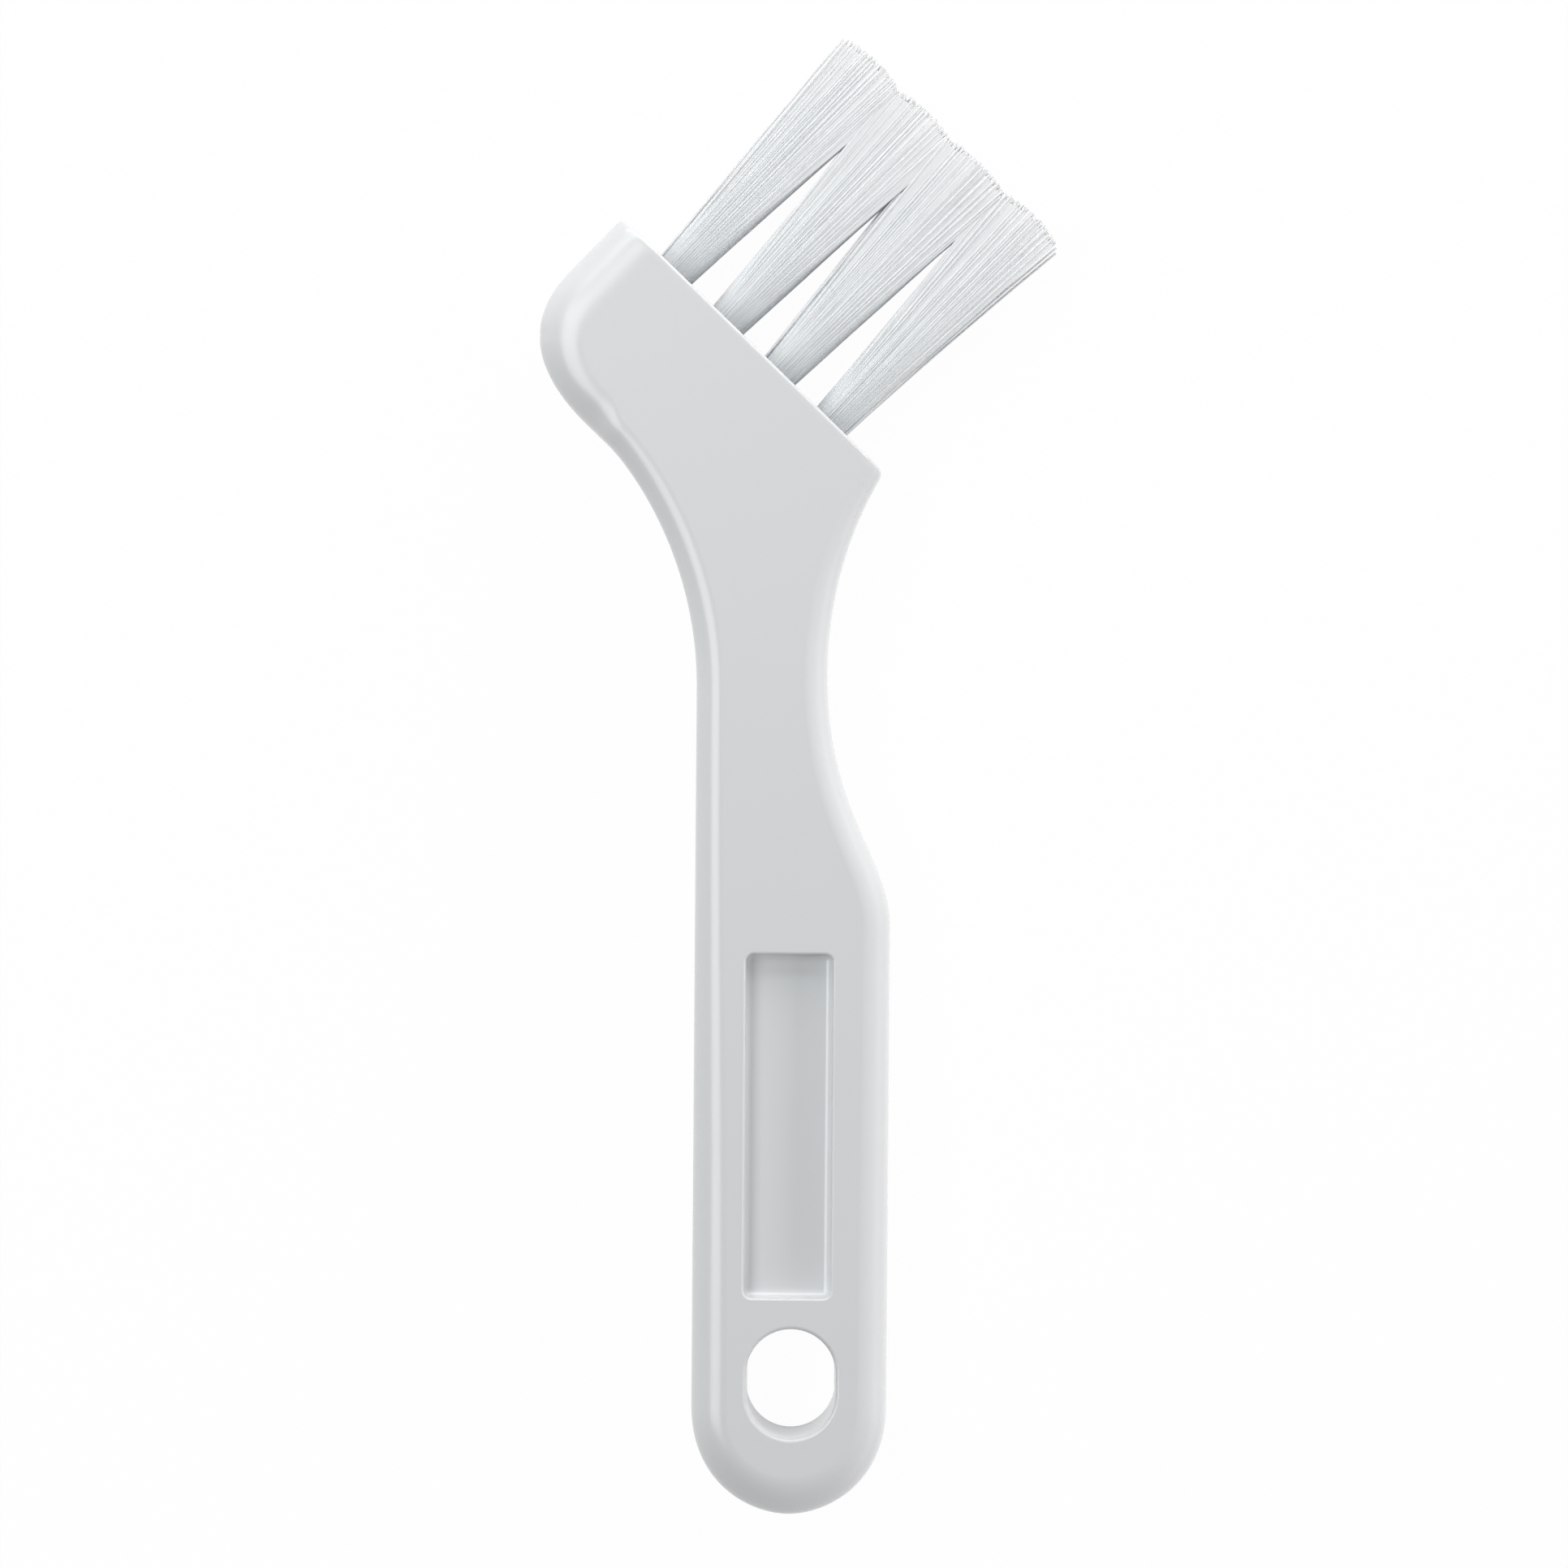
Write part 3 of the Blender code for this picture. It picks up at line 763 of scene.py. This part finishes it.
def make_tuft(index, nylon):
    """One tuft's strands and core as one mesh."""
    curve = draw_strands(index)
    tuft = bpy.data.objects.new(curve.name, curve)
    bpy.context.scene.collection.objects.link(tuft)
    select_only(tuft)
    bpy.ops.object.convert(target="MESH")
    start_editing(tuft)
    bpy.ops.mesh.remove_doubles(threshold=ON_A_PLANE)
    stop_editing()
    core = make_core(TUFT_REACHES[index])
    select_only(tuft)
    core.select_set(True)
    bpy.ops.object.join()
    tuft.data.transform(tuft_frame(index))
    bpy.ops.object.shade_smooth_by_angle(angle=STRAND_SHARP_ANGLE)
    tuft.data.materials.clear()
    tuft.data.materials.append(nylon)
    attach(tuft, "root")
    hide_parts(f"bristle_tuft_{index + 1}")


def new_material(name):
    """A material with its node tree, its Principled shader and an Object coordinate output."""
    material = bpy.data.materials.new(name)
    material.use_nodes = True
    nodes = material.node_tree.nodes
    place = nodes.new("ShaderNodeTexCoord").outputs["Object"]
    return material, nodes, material.node_tree.links, nodes["Principled BSDF"], place


def add_noise(nodes, links, place, size, detail=2.0):
    """Noise whose features have about the given size in metres."""
    noise = nodes.new("ShaderNodeTexNoise")
    noise.inputs["Scale"].default_value = 1 / size
    noise.inputs["Detail"].default_value = detail
    links.new(place, noise.inputs["Vector"])
    return noise.outputs["Fac"]


def add_range(nodes, links, value, low, high, first=0.0, last=1.0):
    """The value spread out so that first becomes low and last becomes high."""
    remap = nodes.new("ShaderNodeMapRange")
    remap.inputs["From Min"].default_value = first
    remap.inputs["From Max"].default_value = last
    remap.inputs["To Min"].default_value = low
    remap.inputs["To Max"].default_value = high
    links.new(value, remap.inputs["Value"])
    return remap.outputs["Result"]


def add_blend(nodes, links, share, first, second):
    blend = nodes.new("ShaderNodeMix")
    blend.data_type = "RGBA"
    blend.inputs["A"].default_value = (*first, 1.0)
    blend.inputs["B"].default_value = (*second, 1.0)
    links.new(share, blend.inputs["Factor"])
    return blend.outputs["Result"]


def add_bump(nodes, links, height, depth, strength):
    bump = nodes.new("ShaderNodeBump")
    bump.inputs["Distance"].default_value = depth
    bump.inputs["Strength"].default_value = strength
    links.new(height, bump.inputs["Height"])
    return bump.outputs["Normal"]


def satin_plastic():
    """Pale grey plastic out of a finely eroded mould."""
    material, nodes, links, shader, place = new_material("satin_plastic")
    cloud = add_noise(nodes, links, place, PLASTIC_CLOUD_SIZE)
    links.new(add_blend(nodes, links, cloud, *PLASTIC_TONES), shader.inputs["Base Color"])
    patches = add_noise(nodes, links, place, PLASTIC_PATCH_SIZE)
    links.new(add_range(nodes, links, patches, *PLASTIC_ROUGHNESS), shader.inputs["Roughness"])
    grain = add_noise(nodes, links, place, GRAIN_SIZE, GRAIN_DETAIL)
    links.new(add_bump(nodes, links, grain, GRAIN_DEPTH, GRAIN_STRENGTH), shader.inputs["Normal"])
    shader.inputs["IOR"].default_value = PLASTIC_IOR
    return material


def add_painted_shade_and_light_ramp(nodes, links, height):
    """Nylon's colour at a height over the bristle face, darkened near the face as painted shade and
    lightened at the tips as painted light.
    """
    painted_shade_tone = nodes.new("ShaderNodeValToRGB")
    painted_shade_tone.color_ramp.interpolation = "B_SPLINE"
    while len(painted_shade_tone.color_ramp.elements) < len(NYLON_TONES_WITH_PAINTED_SHADE_AND_LIGHT):
        painted_shade_tone.color_ramp.elements.new(0.5)
    for element, (spot, colour) in zip(painted_shade_tone.color_ramp.elements, NYLON_TONES_WITH_PAINTED_SHADE_AND_LIGHT):
        element.position = spot
        element.color = (*colour, 1.0)
    links.new(add_range(nodes, links, height, 0, 1, last=TUFT_LENGTH), painted_shade_tone.inputs["Fac"])
    return painted_shade_tone.outputs["Color"]


def nylon_filament():
    """Milky filament with painted shade where it comes out of the handle and painted light at its
    tips, and streaks along the strands.
    """
    material, nodes, links, shader, place = new_material("nylon_filament")
    along = nodes.new("ShaderNodeMapping")
    along.vector_type = "TEXTURE"
    along.inputs["Location"].default_value = face_centre
    along.inputs["Rotation"].default_value = (0, 0, -FACE_SLANT)
    links.new(place, along.inputs["Vector"])
    height = nodes.new("ShaderNodeSeparateXYZ")
    links.new(along.outputs["Vector"], height.inputs["Vector"])
    # colour by height, with painted shade near the face and painted light at the tips
    painted_shade_tone = add_painted_shade_and_light_ramp(nodes, links, height.outputs["Y"])
    stretch = nodes.new("ShaderNodeMapping")
    stretch.inputs["Scale"].default_value = (1, STREAK_STRETCH, 1)
    links.new(along.outputs["Vector"], stretch.inputs["Vector"])
    noise = add_noise(nodes, links, stretch.outputs["Vector"], STREAK_SIZE)
    streak = add_range(nodes, links, noise, 0, 1, *STREAK_CONTRAST)
    shade = nodes.new("ShaderNodeMix")
    shade.data_type = "RGBA"
    shade.blend_type = "MULTIPLY"
    shade.inputs["Factor"].default_value = 1.0
    links.new(painted_shade_tone, shade.inputs["A"])
    links.new(add_blend(nodes, links, streak, *STREAK_SHADES), shade.inputs["B"])
    links.new(shade.outputs["Result"], shader.inputs["Base Color"])
    links.new(add_range(nodes, links, streak, *NYLON_ROUGHNESS), shader.inputs["Roughness"])
    links.new(add_bump(nodes, links, streak, STREAK_DEPTH, STREAK_STRENGTH), shader.inputs["Normal"])
    shader.inputs["IOR"].default_value = NYLON_IOR
    return material


def rolled_brass():
    """Flat brass wire with fine marks from the rolls."""
    material, nodes, links, shader, place = new_material("rolled_brass")
    cloud = add_noise(nodes, links, place, BRASS_CLOUD_SIZE)
    links.new(add_blend(nodes, links, cloud, *BRASS_TONES), shader.inputs["Base Color"])
    marks = add_noise(nodes, links, place, ROLLING_MARK_SIZE)
    links.new(add_range(nodes, links, marks, *BRASS_ROUGHNESS), shader.inputs["Roughness"])
    links.new(
        add_bump(nodes, links, marks, ROLLING_MARK_DEPTH, ROLLING_MARK_STRENGTH),
        shader.inputs["Normal"],
    )
    shader.inputs["Metallic"].default_value = 1.0
    return material


def finish_anchors():
    brass = rolled_brass()
    for index in range(TUFT_COUNT):
        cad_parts[f"tuft_anchor_{index + 1}"].material_slots[0].material = brass


def add_softbox(name, azimuth, elevation, distance, size, watts, colour, in_gloss):
    """A rectangular area lamp that looks at the brush and stays out of the picture."""
    turn, rise = math.radians(azimuth), math.radians(elevation)
    out = Vector((math.sin(turn) * math.cos(rise), -math.cos(turn) * math.cos(rise), math.sin(rise)))
    lamp = bpy.data.lights.new(name, "AREA")
    lamp.shape = "RECTANGLE"
    lamp.size, lamp.size_y = size
    lamp.energy = watts
    lamp.color = colour
    softbox = bpy.data.objects.new(name, lamp)
    softbox.location = out * distance
    softbox.rotation_mode = "QUATERNION"
    softbox.rotation_quaternion = out.to_track_quat("Z", "Y")
    softbox.visible_camera = False
    softbox.visible_glossy = in_gloss
    bpy.context.scene.collection.objects.link(softbox)


def white_to_camera(tree, seen, lit):
    """Joins two shaders: the first for what the camera sees directly or in gloss and glass."""
    nodes, links = tree.nodes, tree.links
    path = nodes.new("ShaderNodeLightPath")
    sight = path.outputs["Is Camera Ray"]
    for ray in ("Is Glossy Ray", "Is Transmission Ray"):
        either = nodes.new("ShaderNodeMath")
        either.operation = "MAXIMUM"
        links.new(sight, either.inputs[0])
        links.new(path.outputs[ray], either.inputs[1])
        sight = either.outputs["Value"]
    mix = nodes.new("ShaderNodeMixShader")
    links.new(sight, mix.inputs["Fac"])
    links.new(lit, mix.inputs[1])
    links.new(seen, mix.inputs[2])
    return mix.outputs["Shader"]


def make_floor():
    """A matt floor that looks white and keeps a little of the brush's shadow."""
    bpy.ops.object.select_all(action="DESELECT")
    bpy.ops.mesh.primitive_plane_add(size=FLOOR_SIDE, location=(0, 0, -FLOOR_GAP))
    floor = bpy.context.object
    floor.name = "floor"
    material = bpy.data.materials.new("pale_floor")
    material.use_nodes = True
    tree = material.node_tree
    tree.nodes.clear()
    matt = tree.nodes.new("ShaderNodeBsdfDiffuse")
    matt.inputs["Color"].default_value = FLOOR_COLOUR
    white = tree.nodes.new("ShaderNodeEmission")
    shadowed = tree.nodes.new("ShaderNodeMixShader")
    shadowed.inputs["Fac"].default_value = FLOOR_SHADOW
    tree.links.new(white.outputs["Emission"], shadowed.inputs[1])
    tree.links.new(matt.outputs["BSDF"], shadowed.inputs[2])
    output = tree.nodes.new("ShaderNodeOutputMaterial")
    surface = white_to_camera(tree, shadowed.outputs["Shader"], matt.outputs["BSDF"])
    tree.links.new(surface, output.inputs["Surface"])
    floor.data.materials.append(material)


def make_world():
    world = bpy.data.worlds.new("studio")
    world.use_nodes = True
    tree = world.node_tree
    room = tree.nodes["Background"]
    room.inputs["Color"].default_value = WHITE
    room.inputs["Strength"].default_value = ROOM_LEVEL
    white = tree.nodes.new("ShaderNodeBackground")
    white.inputs["Color"].default_value = WHITE
    surface = white_to_camera(tree, white.outputs["Background"], room.outputs["Background"])
    tree.links.new(surface, tree.nodes["World Output"].inputs["Surface"])
    bpy.context.scene.world = world


def make_camera():
    camera_data = bpy.data.cameras.new("camera")
    camera_data.sensor_width = CAMERA_SENSOR
    camera_data.lens = CAMERA_SENSOR * (CAMERA_HEIGHT - thickness / 2) / PICTURE_SIDE
    camera_data.clip_start = CAMERA_CLIP
    camera = bpy.data.objects.new("camera", camera_data)
    camera.location = (*PICTURE_CENTRE, CAMERA_HEIGHT)
    camera.rotation_euler = (0, 0, CAMERA_TURN)
    bpy.context.scene.collection.objects.link(camera)
    bpy.context.scene.camera = camera
    bpy.context.scene.view_settings.view_transform = "Standard"


make_camera()
make_world()
make_floor()
for softbox in SOFTBOXES:
    add_softbox(*softbox)
make_handle()
nylon_finish = nylon_filament()
for tuft_index in range(TUFT_COUNT):
    make_tuft(tuft_index, nylon_finish)
finish_anchors()
